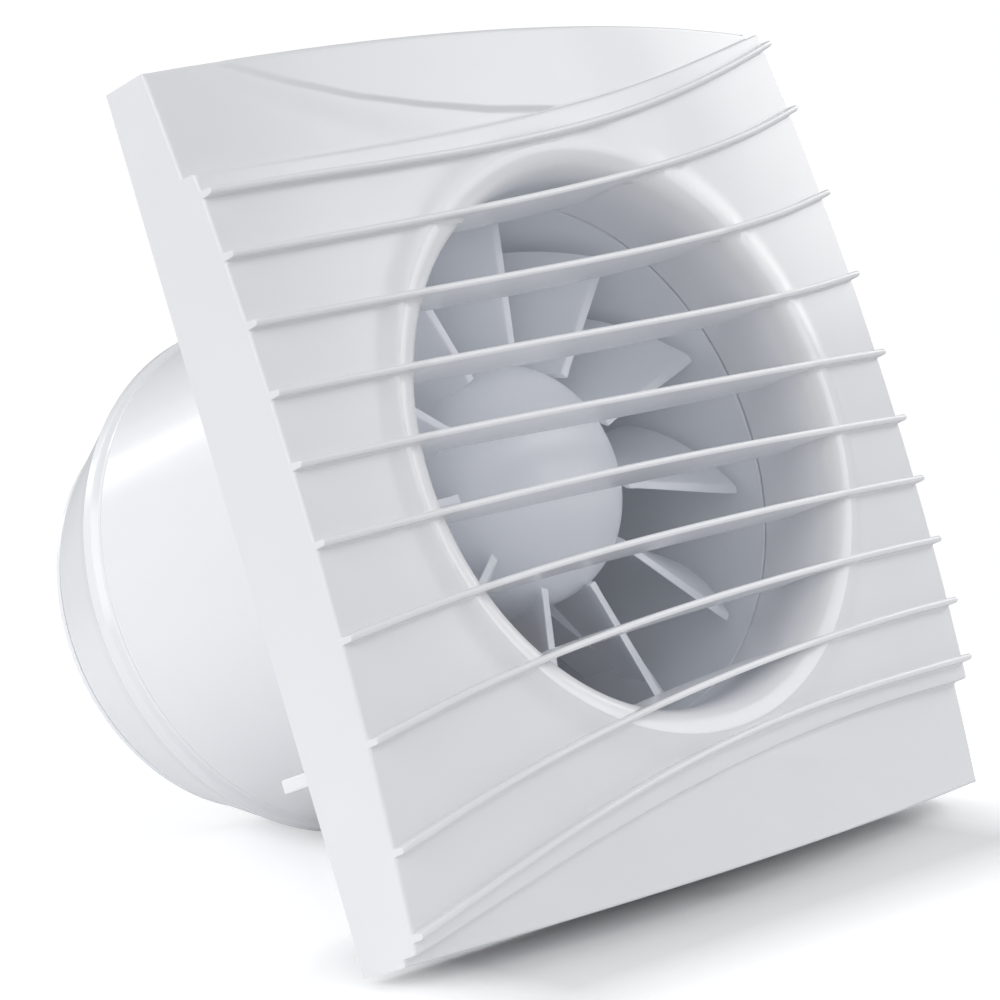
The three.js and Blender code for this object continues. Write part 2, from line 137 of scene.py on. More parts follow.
def raw(name, verts, faces, weld=0.0):
    """A mesh object from points in mm and faces, with its faces turned outwards."""
    me = bpy.data.meshes.new(name)
    me.from_pydata((np.asarray(verts, float) * MM).tolist(), [], faces)
    bm = bmesh.new()
    bm.from_mesh(me)
    if weld:
        bmesh.ops.remove_doubles(bm, verts=bm.verts, dist=weld * MM)
        bmesh.ops.dissolve_degenerate(bm, edges=bm.edges, dist=1e-8)
    bmesh.ops.recalc_face_normals(bm, faces=bm.faces)
    if bm.calc_volume(signed=True) < 0:
        bmesh.ops.reverse_faces(bm, faces=bm.faces)
    bm.to_mesh(me)
    bm.free()
    return link(name, me)


def grid_faces(nu, nv, base=0, stride=None):
    stride = stride or nv + 1
    return [(base + i * stride + j, base + (i + 1) * stride + j, base + (i + 1) * stride + j + 1, base + i * stride + j + 1) for i in range(nu) for j in range(nv)]


def lathe(name, profile, seg=192, cx=0.0, cz=0.0):
    """A ring from a closed profile of (radius, y) points."""
    pr = np.asarray(profile, float)
    n = len(pr)
    a = np.arange(seg) * 2 * math.pi / seg
    v = np.zeros((seg, n, 3))
    v[:, :, 0] = cx + np.cos(a)[:, None] * pr[None, :, 0]
    v[:, :, 1] = pr[None, :, 1]
    v[:, :, 2] = cz + np.sin(a)[:, None] * pr[None, :, 0]
    f = [(i * n + j, ((i + 1) % seg) * n + j, ((i + 1) % seg) * n + (j + 1) % n, i * n + (j + 1) % n) for i in range(seg) for j in range(n)]
    return raw(name, v.reshape(-1, 3), f)


def spindle(name, profile, seg=96, cx=0.0, cz=0.0):
    """A solid of revolution whose profile starts and ends on the axis."""
    pr = np.asarray(profile, float)[1:-1]
    n = len(pr)
    a = np.arange(seg) * 2 * math.pi / seg
    v = np.zeros((seg, n, 3))
    v[:, :, 0] = cx + np.cos(a)[:, None] * pr[None, :, 0]
    v[:, :, 1] = pr[None, :, 1]
    v[:, :, 2] = cz + np.sin(a)[:, None] * pr[None, :, 0]
    v = np.concatenate([v.reshape(-1, 3), [[cx, profile[0][1], cz], [cx, profile[-1][1], cz]]])
    f = [(i * n + j, ((i + 1) % seg) * n + j, ((i + 1) % seg) * n + j + 1, i * n + j + 1) for i in range(seg) for j in range(n - 1)]
    f += [(seg * n, ((i + 1) % seg) * n, i * n) for i in range(seg)]
    f += [(seg * n + 1, i * n + n - 1, ((i + 1) % seg) * n + n - 1) for i in range(seg)]
    return raw(name, v, f)


def rod_y(name, r, y0, y1, x=0.0, z=0.0, seg=48, ease=0.0):
    e = min(ease, r * 0.8, abs(y1 - y0) * 0.45)
    pts = [(0, y0), (r - e, y0), (r - 0.3 * e, y0 + 0.3 * e), (r, y0 + e), (r, y1 - e), (r - 0.3 * e, y1 - 0.3 * e), (r - e, y1), (0, y1)] if e > 0 else [(0, y0), (r, y0), (r, y1), (0, y1)]
    return spindle(name, pts, seg, x, z)


def rod_z(name, r, z0, z1, x=0.0, y=0.0, seg=32, ease=0.0):
    e = min(ease, r * 0.8)
    pr = [(r - e, z0), (r, z0 + e), (r, z1 - e), (r - e, z1)] if e > 0 else [(r, z0), (r, z1)]
    n = len(pr)
    v, f = [], []
    for i in range(seg):
        a = 2 * math.pi * i / seg
        v += [(x + q * math.cos(a), y + q * math.sin(a), z) for q, z in pr]
    v += [(x, y, z0), (x, y, z1)]
    for i in range(seg):
        k = (i + 1) % seg
        f += [(i * n + j, k * n + j, k * n + j + 1, i * n + j + 1) for j in range(n - 1)]
        f += [(seg * n, k * n, i * n), (seg * n + 1, i * n + n - 1, k * n + n - 1)]
    return raw(name, v, f)


def mapped(name, nu, nv, nw, fn):
    """A box whose three parameters, each -1 to 1, are mapped to a point."""
    v, f = [], []

    def side(n1, n2, put):
        base = len(v)
        for i in range(n1 + 1):
            for j in range(n2 + 1):
                v.append(fn(*put(-1 + 2 * i / n1, -1 + 2 * j / n2)))
        f.extend(grid_faces(n1, n2, base))

    for s in (-1, 1):
        side(nv, nw, lambda a, b, s=s: (s, a, b))
        side(nu, nw, lambda a, b, s=s: (a, s, b))
        side(nu, nv, lambda a, b, s=s: (a, b, s))
    return raw(name, v, f, weld=1e-4)


def block(name, x0, x1, y0, y1, z0, z1, r=0.0, n=2):
    """A block with rounded edges."""
    me = bpy.data.meshes.new(name)
    bm = bmesh.new()
    bmesh.ops.create_cube(bm, size=1.0)
    for v in bm.verts:
        v.co = Vector((lerp(x0, x1, v.co.x + 0.5), lerp(y0, y1, v.co.y + 0.5), lerp(z0, z1, v.co.z + 0.5))) * MM
    if r:
        bmesh.ops.bevel(bm, geom=bm.edges[:], offset=r * MM, segments=n, profile=0.5, affect="EDGES", clamp_overlap=True)
    bm.to_mesh(me)
    bm.free()
    return link(name, me)


def prism(name, outline, y0, y1):
    """A flat outline of (x, z) points given thickness along Y."""
    n = len(outline)
    v = [(x, y0, z) for x, z in outline] + [(x, y1, z) for x, z in outline]
    f = [tuple(range(n)), tuple(range(2 * n - 1, n - 1, -1))] + [(i, (i + 1) % n, n + (i + 1) % n, n + i) for i in range(n)]
    return raw(name, v, f)


def rounded(points, radius, n=4):
    """A closed outline with its corners turned into arcs. radius is a number, or one for each corner."""
    pts = [np.array(p, float) for p in points]
    out = []
    m = len(pts)
    for i, p in enumerate(pts):
        r = radius[i] if isinstance(radius, (list, tuple)) else radius
        a, b = pts[i - 1] - p, pts[(i + 1) % m] - p
        la, lb = np.linalg.norm(a), np.linalg.norm(b)
        if r <= 0 or la < 1e-9 or lb < 1e-9:
            out.append(tuple(p))
            continue
        a, b = a / la, b / lb
        ang = math.acos(max(-1, min(1, float(a @ b))))
        if ang > math.pi - 0.12:
            out.append(tuple(p))
            continue
        cut = min(r / math.tan(ang / 2), la * 0.46, lb * 0.46)
        rr = cut * math.tan(ang / 2)
        mid = (a + b) / np.linalg.norm(a + b)
        c = p + mid * (rr / math.sin(ang / 2))
        s, e = p + a * cut - c, p + b * cut - c
        for k in range(n + 1):
            d = s * (1 - k / n) + e * (k / n)
            out.append(tuple(c + d / np.linalg.norm(d) * rr))
    return out


def spline(points, n=6):
    """Smooth points through an open run of points."""
    p = np.asarray(points, float)
    pad = np.concatenate([[2 * p[0] - p[1]], p, [2 * p[-1] - p[-2]]])
    out = []
    for i in range(1, len(pad) - 2):
        a, b, c, d = pad[i - 1], pad[i], pad[i + 1], pad[i + 2]
        for k in range(n):
            f = k / n
            out.append(tuple(b + 0.5 * f * (c - a + f * (2 * a - 5 * b + 4 * c - d + f * (3 * (b - c) + d - a)))))
    out.append(tuple(p[-1]))
    return out


def apply_mods(ob):
    dg = bpy.context.evaluated_depsgraph_get()
    me = bpy.data.meshes.new_from_object(ob.evaluated_get(dg))
    old = ob.data
    ob.modifiers.clear()
    ob.data = me
    if old.users == 0:
        bpy.data.meshes.remove(old)
    return ob


def combine(base, others, operation):
    """Joins the other solids to base, or cuts them from it, and removes them."""
    for o in others:
        m = base.modifiers.new("op", "BOOLEAN")
        m.operation, m.solver, m.object = operation, "MANIFOLD", o
    bpy.context.view_layer.update()
    apply_mods(base)
    for o in others:
        me = o.data
        bpy.data.objects.remove(o)
        if me.users == 0:
            bpy.data.meshes.remove(me)
    return base


def join(base, *others):
    return combine(base, others, "UNION")


def cut(base, *others):
    return combine(base, others, "DIFFERENCE")


def finish_mesh(ob, sharp=34, bevel=0.0, segments=2, limit=40):
    """Welds, eases the hard edges, and shades smooth across all but sharp corners."""
    bm = bmesh.new()
    bm.from_mesh(ob.data)
    bmesh.ops.remove_doubles(bm, verts=bm.verts, dist=2e-6)
    bmesh.ops.dissolve_degenerate(bm, edges=bm.edges, dist=2e-6)
    if bevel:
        bmesh.ops.dissolve_limit(bm, angle_limit=math.radians(0.4), verts=bm.verts, edges=bm.edges)
    bm.to_mesh(ob.data)
    bm.free()
    if bevel:
        m = ob.modifiers.new("ease", "BEVEL")
        m.width, m.segments, m.limit_method, m.angle_limit = bevel * MM, segments, "ANGLE", math.radians(limit)
        m.use_clamp_overlap = True
        m.harden_normals = False
        bpy.context.view_layer.update()
        apply_mods(ob)
    return even_shading(ob, sharp)


def even_shading(ob, sharp):
    """Smooth shading in which the broad faces decide the normals, so narrow joining faces leave no marks."""
    ob.data.shade_smooth()
    ob.data.set_sharp_from_angle(angle=math.radians(sharp))
    m = ob.modifiers.new("normals", "WEIGHTED_NORMAL")
    m.mode, m.weight, m.keep_sharp = "FACE_AREA", 75, True
    bpy.context.view_layer.update()
    return apply_mods(ob)


# ------------------------------------------------------------------ materials
def new_mat(name):
    m = bpy.data.materials.new(name)
    m.use_nodes = True
    nt = m.node_tree
    for n in list(nt.nodes):
        if n.type != "OUTPUT_MATERIAL" and n.type != "BSDF_PRINCIPLED":
            nt.nodes.remove(n)
    return m, nt, nt.nodes["Principled BSDF"]


def node(nt, kind, **kw):
    n = nt.nodes.new(kind)
    for k, v in kw.items():
        setattr(n, k, v)
    return n


def noise(nt, coord, scale, detail=3.0, rough=0.5, stretch=None):
    src = coord
    if stretch:
        mp = node(nt, "ShaderNodeMapping")
        mp.inputs["Scale"].default_value = stretch
        nt.links.new(coord, mp.inputs["Vector"])
        src = mp.outputs["Vector"]
    n = node(nt, "ShaderNodeTexNoise")
    n.inputs["Scale"].default_value = scale
    n.inputs["Detail"].default_value = detail
    n.inputs["Roughness"].default_value = rough
    nt.links.new(src, n.inputs["Vector"])
    return n.outputs["Fac"]


def ramp(nt, fac, lo, hi, out_lo, out_hi):
    n = node(nt, "ShaderNodeMapRange")
    n.inputs["From Min"].default_value, n.inputs["From Max"].default_value = lo, hi
    n.inputs["To Min"].default_value, n.inputs["To Max"].default_value = out_lo, out_hi
    nt.links.new(fac, n.inputs["Value"])
    return n.outputs["Result"]


def tone(nt, fac, a, b):
    n = node(nt, "ShaderNodeMix", data_type="RGBA")
    nt.links.new(fac, n.inputs["Factor"])
    n.inputs["A"].default_value, n.inputs["B"].default_value = (*a, 1), (*b, 1)
    return n.outputs["Result"]


def bump(nt, height, strength, distance, prior=None):
    n = node(nt, "ShaderNodeBump")
    n.inputs["Strength"].default_value, n.inputs["Distance"].default_value = strength, distance
    nt.links.new(height, n.inputs["Height"])
    if prior is not None:
        nt.links.new(prior, n.inputs["Normal"])
    return n.outputs["Normal"]


def plastic(name, light, dark, rough, spread=0.05, wave=0.35, grain=0.12, ior=1.5, painted_glow=0.0, throat=None):
    """Moulded plastic: faint cloudiness in the colour, flow marks in the gloss, a slight waviness and a fine grain;
    where asked, a faint painted glow that stands in for light.
    """
    m, nt, bs = new_mat(name)
    co = node(nt, "ShaderNodeTexCoord").outputs["Object"]
    cloud = noise(nt, co, 22, 3, 0.55)
    fine = noise(nt, co, 900, 2, 0.5)
    flow = noise(nt, co, 60, 4, 0.6, (1.0, 1.0, 0.35))
    nt.links.new(tone(nt, ramp(nt, cloud, 0.3, 0.7, 0, 1), light, dark), bs.inputs["Base Color"])
    nt.links.new(ramp(nt, flow, 0.3, 0.7, rough - spread, rough + spread), bs.inputs["Roughness"])
    n1 = bump(nt, noise(nt, co, 75, 1.5, 0.4), wave, 0.00006)
    nt.links.new(bump(nt, fine, grain, 0.00002, n1), bs.inputs["Normal"])
    bs.inputs["IOR"].default_value = ior
    if painted_glow:  # painted glow: a faint even emission standing in for the little daylight that thin white walls let through
        bs.inputs["Emission Color"].default_value = (0.84, 0.91, 1.0, 1)
        bs.inputs["Emission Strength"].default_value = painted_glow
    if throat:  # the same painted glow, but only inside the round opening, fading out at its edge
        bs.inputs["Emission Color"].default_value = (0.84, 0.91, 1.0, 1)
        flat = node(nt, "ShaderNodeVectorMath", operation="MULTIPLY")
        nt.links.new(co, flat.inputs[0])
        flat.inputs[1].default_value = (1.0, 0.0, 1.0)
        out = node(nt, "ShaderNodeVectorMath", operation="LENGTH")
        nt.links.new(flat.outputs[0], out.inputs[0])
        nt.links.new(ramp(nt, out.outputs["Value"], throat[1], throat[2], throat[0], 0.0), bs.inputs["Emission Strength"])
    return m


def metal(name, light, dark, rough, spread=0.08, scale=300, stretch=(1, 1, 1), depth=0.00002, strength=0.3):
    m, nt, bs = new_mat(name)
    co = node(nt, "ShaderNodeTexCoord").outputs["Object"]
    line = noise(nt, co, scale, 4, 0.6, stretch)
    cloud = noise(nt, co, 90, 3, 0.6)
    nt.links.new(tone(nt, ramp(nt, cloud, 0.3, 0.7, 0, 1), light, dark), bs.inputs["Base Color"])
    nt.links.new(ramp(nt, line, 0.3, 0.7, rough - spread, rough + spread), bs.inputs["Roughness"])
    nt.links.new(bump(nt, line, strength, depth), bs.inputs["Normal"])
    bs.inputs["Metallic"].default_value = 1.0
    return m


# painted glow: the cover and the body glow faintly inside the round opening and the impeller glows all over, standing
# in for light that reaches inside the duct
MAT_COVER = plastic("cover_white", (0.815, 0.818, 0.838), (0.79, 0.794, 0.815), 0.232, 0.032, 0.10, 0.08, throat=(0.045, 0.0478, 0.0494))
# The body and impeller are the same white plastic as the cover; their lighter, bluer colours are partly their own
# colour and partly painted light, standing in for the bluish light inside the duct.
MAT_BODY = plastic("body_white", (0.865, 0.875, 0.905), (0.85, 0.86, 0.89), 0.175, 0.03, 0.06, 0.06, throat=(0.03, 0.0486, 0.0492))
MAT_FAN = plastic("fan_grey", (0.895, 0.91, 0.95), (0.88, 0.895, 0.935), 0.35, 0.06, 0.12, 0.12, painted_glow=0.03)
MAT_BLACK = plastic("bobbin_black", (0.022, 0.023, 0.026), (0.03, 0.031, 0.034), 0.48, 0.08, 0.3, 0.3)
MAT_RUBBER = plastic("rubber", (0.028, 0.028, 0.030), (0.036, 0.036, 0.038), 0.72, 0.08, 0.2, 0.5)
MAT_STEEL = metal("steel", (0.58, 0.58, 0.59), (0.50, 0.50, 0.51), 0.36, 0.07, 420, (1, 0.12, 1))
MAT_CAST = metal("die_cast", (0.56, 0.57, 0.585), (0.47, 0.48, 0.495), 0.46, 0.10, 260, (1, 1, 1), 0.00004, 0.45)
MAT_BRONZE = metal("bronze", (0.62, 0.44, 0.20), (0.50, 0.34, 0.15), 0.40, 0.10, 380)


def laminated():
    m, nt, bs = new_mat("lamination")
    co = node(nt, "ShaderNodeTexCoord").outputs["Object"]
    w = node(nt, "ShaderNodeTexWave", wave_type="BANDS", bands_direction="Y", wave_profile="SAW")
    w.inputs["Scale"].default_value = 320
    w.inputs["Distortion"].default_value = 0.15
    nt.links.new(co, w.inputs["Vector"])
    cloud = noise(nt, co, 120, 4, 0.6)
    nt.links.new(tone(nt, ramp(nt, cloud, 0.35, 0.7, 0, 1), (0.17, 0.17, 0.175), (0.26, 0.22, 0.19)), bs.inputs["Base Color"])
    nt.links.new(ramp(nt, cloud, 0.3, 0.7, 0.42, 0.62), bs.inputs["Roughness"])
    nt.links.new(bump(nt, w.outputs["Fac"], 0.6, 0.00012), bs.inputs["Normal"])
    bs.inputs["Metallic"].default_value = 0.85
    return m


def enamelled():
    m, nt, bs = new_mat("copper")
    co = node(nt, "ShaderNodeTexCoord").outputs["Object"]
    cloud = noise(nt, co, 160, 3, 0.6)
    nt.links.new(tone(nt, ramp(nt, cloud, 0.3, 0.7, 0, 1), (0.50, 0.20, 0.085), (0.38, 0.13, 0.05)), bs.inputs["Base Color"])
    nt.links.new(ramp(nt, cloud, 0.3, 0.7, 0.29, 0.40), bs.inputs["Roughness"])
    nt.links.new(bump(nt, cloud, 0.2, 0.00003), bs.inputs["Normal"])
    bs.inputs["Metallic"].default_value = 0.75
    bs.inputs["Coat Weight"].default_value = 0.6
    bs.inputs["Coat Roughness"].default_value = 0.15
    return m


MAT_LAM = laminated()
MAT_COPPER = enamelled()
FINISH = {
    "cover_white": MAT_COVER, "body_white": MAT_BODY, "fan_grey": MAT_FAN, "steel": MAT_STEEL, "lamination": MAT_LAM,
    "die_cast": MAT_CAST, "copper": MAT_COPPER, "bronze": MAT_BRONZE, "bobbin_black": MAT_BLACK, "rubber": MAT_RUBBER,
}


def piece(ob, body, slot, *nodes):
    ob.data.materials.clear()
    ob.data.materials.append(FINISH[slot])
    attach(ob, body)
    if nodes:
        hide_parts(*nodes)
    return ob


# ------------------------------------------------------------------ louvred front cover
# the two swept creases in the plain bands: the band on one side of each curve is slightly sunk
CREASE = np.array([(-67, 77.6), (-64, 76.4), (-59.3, 74.5), (-49.4, 70.4), (-37.4, 66.5), (-24, 63.7), (-10.3, 61.7), (5.9, 60.6), (14, 60.3)])


def crease_drop(x, z, deep=1.0):
    """How far the upper band lies below its plain surface, under the swept crease."""
    zc = np.interp(x, CREASE[:, 0], CREASE[:, 1])
    s = np.clip((x + 66) / 72, 0, 1)
    below = zc - z
    depth = deep * (0.16 + 0.84 * s ** 0.9) * smooth((11.0 - x) / 3.0) * smooth((x + 66.5) / 2.0)
    wide = 0.45 + 1.15 * s * (1 - 0.5 * smooth((x + 8) / 16))
    drop = depth * smooth(below / wide + 0.15) * (1 - smooth((below - 0.6 * wide) / (5.0 + 11.0 * s)))
    return np.where((x > -66.5) & (x < 14), drop, 0.0)


def band_top(x, z):
    return field(x, z) + recess(x) + crease_drop(x, z)


def band_bottom(x, z):
    return field(x, z) + recess(x) + crease_drop(-x, -z, -0.34)


CREST_R, CREST_UP = 53.2, 0.55
# the roll from the crest of the rim into the throat, (radius, y) where the crest is lowest
ROLL = np.array([(53.2, -22.45), (52.5, -22.40), (51.5, -22.20), (50.3, -21.75), (49.25, -21.0), (48.45, -19.85), (47.85, -18.3), (47.62, -16.3), (47.62, -13.6), (47.8, -9.9), (47.98, SEAM_Y - 0.3)])


def crest_y(x, z):
    """The rim keeps a steady height above the bowed face all the way round."""
    r = np.maximum(np.hypot(x, z), 1e-6)
    return field(x / r * CREST_R, z / r * CREST_R) - CREST_UP


def roll_shift(x, z, y):
    """How far a point of the roll moves forward, where the crest stands further forward."""
    return (crest_y(x, z) - ROLL[0, 1]) * smooth((-16.6 - y) / 5.4)


def rim_lift(x, z, y):
    """The field rises gently to the rim of the opening."""
    r = np.hypot(x, z)
    s = smooth((57.0 - r) / 3.6)
    return y * (1 - s) + np.minimum(y, crest_y(x, z) + 0.03) * s


def roll_y(x, z):
    """The height of the roll at a point between the throat and the crest."""
    r = float(np.hypot(x, z))
    y = float(np.interp(-r, -ROLL[:8, 0], ROLL[:8, 1]))
    return y + float(roll_shift(x, z, y))


def cover_body():
    R = 0.7
    nu = 160
    xs = np.linspace(-(FACE_HALF - R), FACE_HALF - R, nu + 1)
    sb, st, et = step_bottom(xs), step_top(xs), edge_top(xs)
    rows = []

    def row(z, y):
        rows.append(np.stack([xs, y, z], 1))

    lift = lambda z: rim_lift(xs, z, field(xs, z))
    for t in np.linspace(0, 1, 40):
        z = lerp(-et + R, sb - 0.55, t)
        row(z, band_bottom(xs, z))
    for dz, w, base in ((-0.22, 0.10, 0), (-0.07, 0.32, 0), (0.0, 0.62, 1), (0.1, 0.22, 1), (0.27, 0.06, 1)):
        z = sb + dz
        low = band_bottom(xs, sb - 0.55)
        row(z, low - w * (low - field(xs, sb)) / 1.5 if base == 0 else field(xs, sb) + np.minimum(w, 0.45 * recess(xs)))
    for t in np.linspace(0, 1, 60):
        z = lerp(sb + 0.6, st - 0.6, t)
        row(z, lift(z))
    for dz, w, base in ((-0.27, 0.06, 1), (-0.1, 0.22, 1), (0.0, 0.62, 1), (0.07, 0.32, 0), (0.22, 0.10, 0)):
        z = st + dz
        low = band_top(xs, st + 0.55)
        row(z, low - w * (low - field(xs, st)) / 1.5 if base == 0 else field(xs, st) + np.minimum(w, 0.45 * recess(xs)))
    for t in np.linspace(0, 1, 74):
        z = lerp(st + 0.55, et - R, t)
        row(z, band_top(xs, z))
    front = np.stack(rows, 1)  # (nu+1, nv+1, 3)
    nv = front.shape[1] - 1
    loop = [(i, 0) for i in range(nu)] + [(nu, j) for j in range(nv)] + [(i, nv) for i in range(nu, 0, -1)] + [(0, j) for j in range(nv, 0, -1)]
    border = np.array([front[i, j] for i, j in loop])
    out = np.zeros((len(loop), 3))
    for k, (i, j) in enumerate(loop):
        out[k] = ((-1 if i == 0 else 1 if i == nu else 0), 0, (-1 if j == 0 else 1 if j == nv else 0))

    def skirt(start, r, inset):
        """Rings from the border round the edge and down to the wall plane."""
        rings = []
        for a in (22.5, 45, 67.5, 90):
            a = math.radians(a)
            p = start + out * r * math.sin(a)
            p[:, 1] = start[:, 1] + r * (1 - math.cos(a))
            rings.append(p)
        last = rings[-1]
        for t in (0.25, 0.5, 0.75):
            p = last.copy()
            p[:, 1] = last[:, 1] * (1 - t)
            rings.append(p)
        p = last.copy()
        p[:, 1] = -0.25
        rings.append(p)
        p = last - out * (0.22 if inset > 0 else -0.22)
        p[:, 1] = 0.0
        rings.append(p)
        return rings

    outer = skirt(border, R, 1)
    shrink = (FACE_HALF - WALL - 0.4) / (FACE_HALF - R)
    inner_front = front.copy()
    inner_front[:, :, 0] *= shrink
    inner_front[:, :, 2] *= (FACE_HALF - WALL - 0.4) / (FACE_HALF - R)
    inner_front[:, :, 1] += WALL
    inner_border = np.array([inner_front[i, j] for i, j in loop])
    inner = skirt(inner_border, 0.4, -1)
    verts = [front.reshape(-1, 3), inner_front.reshape(-1, 3)] + outer + inner
    n0 = (nu + 1) * (nv + 1)
    faces = grid_faces(nu, nv)
    faces += [tuple(reversed(q)) for q in grid_faces(nu, nv, n0)]
    L = len(loop)
    o_idx = [[i * (nv + 1) + j for i, j in loop]] + [[2 * n0 + k * L + m for m in range(L)] for k in range(len(outer))]
    base = 2 * n0 + len(outer) * L
    i_idx = [[n0 + i * (nv + 1) + j for i, j in loop]] + [[base + k * L + m for m in range(L)] for k in range(len(inner))]

    def band_faces(a, b):
        return [(a[m], a[(m + 1) % L], b[(m + 1) % L], b[m]) for m in range(L)]

    for k in range(len(o_idx) - 1):
        faces += band_faces(o_idx[k], o_idx[k + 1])
    faces += band_faces(o_idx[-1], i_idx[-1])
    for k in range(len(i_idx) - 1, 0, -1):
        faces += band_faces(i_idx[k], i_idx[k - 1])
    return raw("cover", np.concatenate(verts), faces)


def fin(k):
    """A louvre: rounded nose, eased root on the plate, and a deeper blade across the opening."""
    tip, root = FIN_TIP / 2, FIN_ROOT / 2
    near = lambda q: math.hypot(q, float(fin_z(k, q)))
    st = list(np.linspace(-74.6, 74.6, 93))
    fine = np.arange(-57, 57.01, 0.6)
    st = sorted([q for q in st if not 46.0 < near(q) < 56.5] + [float(q) for q in fine if 46.0 < near(q) < 56.5])
    st = [-74.98, -74.9] + st + [74.9, 74.98]
    rings = []
    for x in st:
        zc = float(fin_z(k, x))
        slope = float((fin_z(k, min(x + 0.5, 75)) - fin_z(k, max(x - 0.5, -75))) / (min(x + 0.5, 75) - max(x - 0.5, -75)))
        wide = math.sqrt(1 + slope * slope) ** 0.5
        r = math.hypot(x, zc)
        y_tip = float(field(x, zc)) - FIN_RISE
        if r >= CREST_R:
            y_s = float(rim_lift(x, zc, field(x, zc)))
            rear = y_s + 1.5
        else:
            y_s = max(roll_y(x, zc), y_tip + 1.4)
            rear = float(np.interp(r, [49.0, 49.5, 50.2, 51.5, CREST_R], [FIN_REAR, -16.2, -18.2, -19.6, float(crest_y(x, zc)) + 1.5]))
        end = 0.22 if abs(x) > 74.95 else (0.06 if abs(x) > 74.85 else 0.0)
        t = tip * wide - end
        draft = (root - tip) * wide / (FIN_REAR - y_tip)
        side = lambda y: t + draft * (y - y_tip)
        nose = min(0.52, 0.45 * (y_s - y_tip))
        sec = [(t * math.sin(a), y_tip + end + nose * (1 - math.cos(a))) for a in np.radians([0, 22, 42, 60, 76, 90])]
        low = min(0.42 if abs(x) < 74 else 0.2, 0.3 * (y_s - y_tip))
        spread = float(smooth((r - 48.6) / 1.6)) * (1 - 0.7 * float(smooth((abs(x) - 73.2) / 1.4)))
        back = max(y_s + 0.5, rear - 0.5)
        deep = [(side(back), back), (max(side(rear) - 0.42, 0.2), max(rear, back + 0.1)), (0.0, max(rear, back + 0.1))]
        # the upper side meets the face plainly, the lower side with a small hollow
        upper = [(side(q), q) for q in (y_s - 0.6, y_s - 0.2, y_s + 0.35)]
        lower = [(side(y_s) + low * spread * w, y_s + low * d) for w, d in ((0.0, -1.5), (0.10, -0.92), (0.34, -0.44), (0.76, -0.12))]
        lower += [(side(y_s + 0.3) + 1.8 * low * spread, y_s + 0.3)]
        full = [(zc + w, y) for w, y in sec + upper + deep] + [(zc - w, y) for w, y in (sec + lower + deep)[-2:0:-1]]
        rings.append([(x, y, z) for z, y in full])
    m = len(rings[0])
    v = [p for r in rings for p in r]
    f = [(i * m + j, (i + 1) * m + j, (i + 1) * m + (j + 1) % m, i * m + (j + 1) % m) for i in range(len(rings) - 1) for j in range(m)]
    f += [tuple(range(m)), tuple((len(rings) - 1) * m + j for j in range(m - 1, -1, -1))]
    return raw(f"fin{k}", v, f)


def rim_ring():
    """The roll and throat of the opening as one closed ring."""
    front = [(54.95, -21.2), (54.3, -21.75), (53.75, -22.2)] + spline(ROLL, 4)
    prof = np.array(front + [(48.25, SEAM_Y), (49.55, SEAM_Y), (49.85, SEAM_Y - 0.3), (50.0, -15.4), (51.6, -18.2), (54.95, -19.95)])
    seg, n = 192, len(prof)
    v = []
    for i in range(seg):
        a = 2 * math.pi * i / seg
        c, s = math.cos(a), math.sin(a)
        v += [(r * c, y + float(roll_shift(r * c, r * s, y)), r * s) for r, y in prof]
    f = [(i * n + j, ((i + 1) % seg) * n + j, ((i + 1) % seg) * n + (j + 1) % n, i * n + (j + 1) % n) for i in range(seg) for j in range(n)]
    return raw("rim", v, f)


def build_cover():
    body = cover_body()
    cut(body, rod_y("hole", CREST_R - 0.03, -40, -0.6, seg=192))
    fins = [fin(k) for k in range(10)]
    tongues = [block("tongue", x - 0.9, x + 0.9, float(field(x, z)) + 1, -2.8, z - 4, z + 4, 0.3) for x, z in TONGUES]
    join(body, rim_ring(), *fins, *tongues)
    cut(body, block("slot", -3, 3, -11.2, -9.2, -80, -72, 0.4))
    return finish_mesh(body, sharp=38)


cover = piece(build_cover(), "grille", "cover_white", "front_grille")
cover.name = "louvred_cover"


